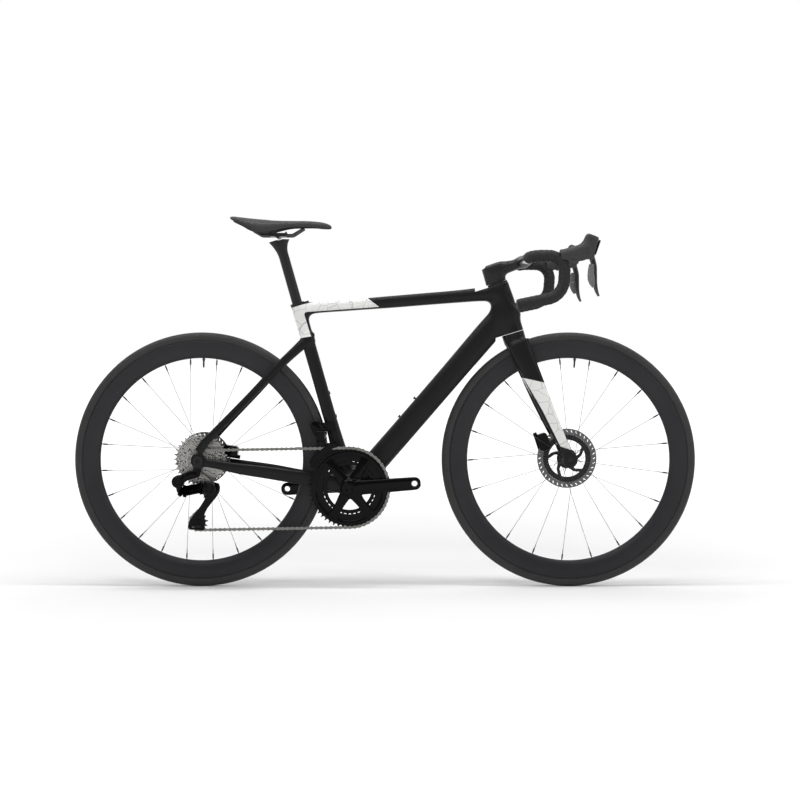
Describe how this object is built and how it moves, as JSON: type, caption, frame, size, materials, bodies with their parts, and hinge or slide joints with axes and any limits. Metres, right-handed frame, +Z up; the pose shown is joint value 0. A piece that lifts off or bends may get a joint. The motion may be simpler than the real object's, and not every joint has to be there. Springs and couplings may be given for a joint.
{
  "type": "road bicycle",
  "caption": "Endurance road bicycle with aero carbon frame, disc brakes, deep rims and an electronic two-ring derailleur drive.",
  "frame": {"origin": "on the ground, midway between the two wheel axles, on the centre plane", "axes": "+X forward, +Y to the rider's left, +Z up; the drive side is on -Y"},
  "size_m": [1.658, 0.4552, 0.9866],
  "materials": {
    "carbon_frame": "matte carbon with white panels",
    "rubber_tyre": "matte",
    "carbon_rim": "satin",
    "spoke_steel": "dark satin",
    "black_alloy": "satin anodised",
    "polished_steel": "bright",
    "gloss_black": "gloss",
    "dark_metal": "satin",
    "black_plastic": "satin",
    "brake_lining": "rough",
    "rubber_tape": "textured",
    "saddle_cover": "matte"
  },
  "bodies": {
    "frame": {"main_frame": "carbon_frame", "rear_triangle": "carbon_frame", "derailleur_hanger": "black_alloy", "seat_clamp": "carbon_frame", "frame_bearings": "polished_steel", "bottle_screws": "dark_metal", "rear_thru_axle": "black_alloy", "rear_caliper": "gloss_black", "rd_b_knuckle": "gloss_black", "fd_body": "gloss_black", "chain": "polished_steel"},
    "fork_bar": {"fork": "carbon_frame", "cockpit": "carbon_frame", "bar_tape": "rubber_tape", "headset_spacer": "carbon_frame", "hood_left": "rubber_tape", "hood_right": "rubber_tape", "front_caliper": "gloss_black", "front_thru_axle": "black_alloy"},
    "front_wheel": {"front_tyre": "rubber_tyre", "front_rim": "carbon_rim", "front_spokes": "spoke_steel", "front_hub": "black_alloy", "front_rotor": "polished_steel", "front_valve": "dark_metal"},
    "rear_wheel": {"rear_tyre": "rubber_tyre", "rear_rim": "carbon_rim", "rear_spokes": "spoke_steel", "rear_hub": "black_alloy", "rear_rotor": "polished_steel", "rear_valve": "dark_metal"},
    "cassette": {"cassette_cogs": "polished_steel", "cassette_freehub": "black_alloy"},
    "crankset": {"crank_right": "gloss_black", "crank_left": "gloss_black", "chainring_outer": "gloss_black", "chainring_inner": "gloss_black", "chainring_bolts": "dark_metal"},
    "rd_outer_link": {"rd_outer_link": "gloss_black"},
    "rd_inner_link": {"rd_inner_link": "gloss_black"},
    "rd_p_knuckle": {"rd_p_knuckle": "gloss_black"},
    "rd_cage": {"rd_cage": "dark_metal"},
    "guide_pulley": {"guide_pulley": "black_plastic"},
    "tension_pulley": {"tension_pulley": "black_plastic"},
    "fd_link": {"fd_link": "gloss_black"},
    "fd_cage": {"fd_cage": "dark_metal"},
    "lever_left": {"lever_left": "gloss_black"},
    "lever_right": {"lever_right": "gloss_black"},
    "shift_up_left": {"shift_up_left": "black_plastic"},
    "shift_down_left": {"shift_down_left": "black_plastic"},
    "shift_up_right": {"shift_up_right": "black_plastic"},
    "shift_down_right": {"shift_down_right": "black_plastic"},
    "front_pad_outer": {"front_pad_outer": "brake_lining"},
    "front_pad_inner": {"front_pad_inner": "brake_lining"},
    "rear_pad_outer": {"rear_pad_outer": "brake_lining"},
    "rear_pad_inner": {"rear_pad_inner": "brake_lining"},
    "seatpost": {"seatpost": "carbon_frame"},
    "saddle": {"saddle": "saddle_cover", "saddle_rails": "dark_metal", "saddle_clamp": "black_alloy"}
  },
  "joints": [
    {"name": "steering", "type": "hinge", "parent": "frame", "child": "fork_bar", "pos_m": [0.3412, 0, 0.6763], "axis": [-0.2924, 0, 0.9563], "range_deg": [-60, 60]},
    {"name": "front_wheel_spin", "type": "hinge", "parent": "fork_bar", "child": "front_wheel", "pos_m": [0.49, 0, 0.339], "axis": [0, 1, 0], "continuous": true},
    {"name": "rear_wheel_spin", "type": "hinge", "parent": "frame", "child": "rear_wheel", "pos_m": [-0.49, 0, 0.339], "axis": [0, 1, 0], "continuous": true},
    {"name": "crank_spin", "type": "hinge", "parent": "frame", "child": "crankset", "pos_m": [-0.0939, 0, 0.2666], "axis": [0, 1, 0], "continuous": true, "deforming": ["chain"]},
    {"name": "cassette_spin", "type": "hinge", "parent": "frame", "child": "cassette", "pos_m": [-0.49, 0, 0.339], "axis": [0, 1, 0], "continuous": true, "deforming": ["chain"]},
    {"name": "rd_shift", "type": "hinge", "parent": "frame", "child": "rd_outer_link", "pos_m": [-0.52733, -0.07137, 0.26353], "axis": [0, 0.6, 0.8], "range_deg": [-11, 50], "deforming": ["chain"]},
    {"name": "rd_inner_swing", "type": "hinge", "parent": "frame", "child": "rd_inner_link", "pos_m": [-0.52733, -0.05937, 0.25453], "axis": [0, 0.6, 0.8], "range_deg": [-11, 50], "deforming": ["chain"]},
    {"name": "rd_knuckle_swing", "type": "hinge", "parent": "rd_outer_link", "child": "rd_p_knuckle", "pos_m": [-0.482, -0.084, 0.273], "axis": [0, 0.6, 0.8], "range_deg": [-50, 11], "deforming": ["chain"]},
    {"name": "rd_cage_swing", "type": "hinge", "parent": "rd_p_knuckle", "child": "rd_cage", "pos_m": [-0.461, 0, 0.267], "axis": [0, 1, 0], "range_deg": [-45, 20], "stiffness_Nm_per_rad": 2, "deforming": ["chain"]},
    {"name": "guide_pulley_spin", "type": "hinge", "parent": "rd_cage", "child": "guide_pulley", "pos_m": [-0.467, 0, 0.262], "axis": [0, 1, 0], "continuous": true, "deforming": ["chain"]},
    {"name": "tension_pulley_spin", "type": "hinge", "parent": "rd_cage", "child": "tension_pulley", "pos_m": [-0.49179, 0, 0.17733], "axis": [0, 1, 0], "continuous": true, "deforming": ["chain"]},
    {"name": "fd_shift", "type": "hinge", "parent": "frame", "child": "fd_link", "pos_m": [-0.168, -0.048, 0.412], "axis": [1, 0, 0], "range_deg": [0, 22], "deforming": ["chain"]},
    {"name": "fd_cage_swing", "type": "hinge", "parent": "fd_link", "child": "fd_cage", "pos_m": [-0.168, -0.048, 0.392], "axis": [1, 0, 0], "range_deg": [-22, 0], "deforming": ["chain"]},
    {"name": "brake_lever_left", "type": "hinge", "parent": "fork_bar", "child": "lever_left", "pos_m": [0.524, 0.198, 0.869], "axis": [0, 1, 0], "range_deg": [0, 22], "stiffness_Nm_per_rad": 0.4, "springref_deg": -14.32},
    {"name": "shift_up_left_press", "type": "slide", "parent": "lever_left", "child": "shift_up_left", "axis": [0, -1, 0], "range_m": [0, 0.001], "stiffness_N_per_m": 600, "springref_m": -0.0005},
    {"name": "shift_down_left_press", "type": "slide", "parent": "lever_left", "child": "shift_down_left", "axis": [0, -1, 0], "range_m": [0, 0.001], "stiffness_N_per_m": 600, "springref_m": -0.0005},
    {"name": "front_pad_outer_slide", "type": "slide", "parent": "fork_bar", "child": "front_pad_outer", "axis": [0, -1, 0], "range_m": [0, 0.00042]},
    {"name": "front_pad_inner_slide", "type": "slide", "parent": "fork_bar", "child": "front_pad_inner", "axis": [0, 1, 0], "range_m": [0, 0.00042]},
    {"name": "brake_lever_right", "type": "hinge", "parent": "fork_bar", "child": "lever_right", "pos_m": [0.524, -0.198, 0.869], "axis": [0, 1, 0], "range_deg": [0, 22], "stiffness_Nm_per_rad": 0.4, "springref_deg": -14.32},
    {"name": "shift_up_right_press", "type": "slide", "parent": "lever_right", "child": "shift_up_right", "axis": [0, 1, 0], "range_m": [0, 0.001], "stiffness_N_per_m": 600, "springref_m": -0.0005},
    {"name": "shift_down_right_press", "type": "slide", "parent": "lever_right", "child": "shift_down_right", "axis": [0, 1, 0], "range_m": [0, 0.001], "stiffness_N_per_m": 600, "springref_m": -0.0005},
    {"name": "rear_pad_outer_slide", "type": "slide", "parent": "frame", "child": "rear_pad_outer", "axis": [0, -1, 0], "range_m": [0, 0.00042]},
    {"name": "rear_pad_inner_slide", "type": "slide", "parent": "frame", "child": "rear_pad_inner", "axis": [0, 1, 0], "range_m": [0, 0.00042]},
    {"name": "seatpost_height", "type": "slide", "parent": "frame", "child": "seatpost", "axis": [-0.2745, 0, 0.9616], "range_m": [-0.05, 0.03]},
    {"name": "saddle_tilt", "type": "hinge", "parent": "seatpost", "child": "saddle", "pos_m": [-0.285, 0, 0.9345], "axis": [0, 1, 0], "range_deg": [-5, 5]}
  ],
  "couplings": [
    {"joint": "cassette_spin", "follows": "crank_spin", "ratio": 4},
    {"joint": "guide_pulley_spin", "follows": "crank_spin", "ratio": -4.7273},
    {"joint": "tension_pulley_spin", "follows": "crank_spin", "ratio": 4.7273},
    {"joint": "rd_inner_swing", "follows": "rd_shift", "ratio": 1},
    {"joint": "rd_knuckle_swing", "follows": "rd_shift", "ratio": -1},
    {"joint": "fd_cage_swing", "follows": "fd_shift", "ratio": -1},
    {"joint": "front_pad_outer_slide", "follows": "brake_lever_left", "m_per_rad": 0.0010417},
    {"joint": "front_pad_inner_slide", "follows": "brake_lever_left", "m_per_rad": 0.0010417},
    {"joint": "rear_pad_outer_slide", "follows": "brake_lever_right", "m_per_rad": 0.0010417},
    {"joint": "rear_pad_inner_slide", "follows": "brake_lever_right", "m_per_rad": 0.0010417}
  ]
}
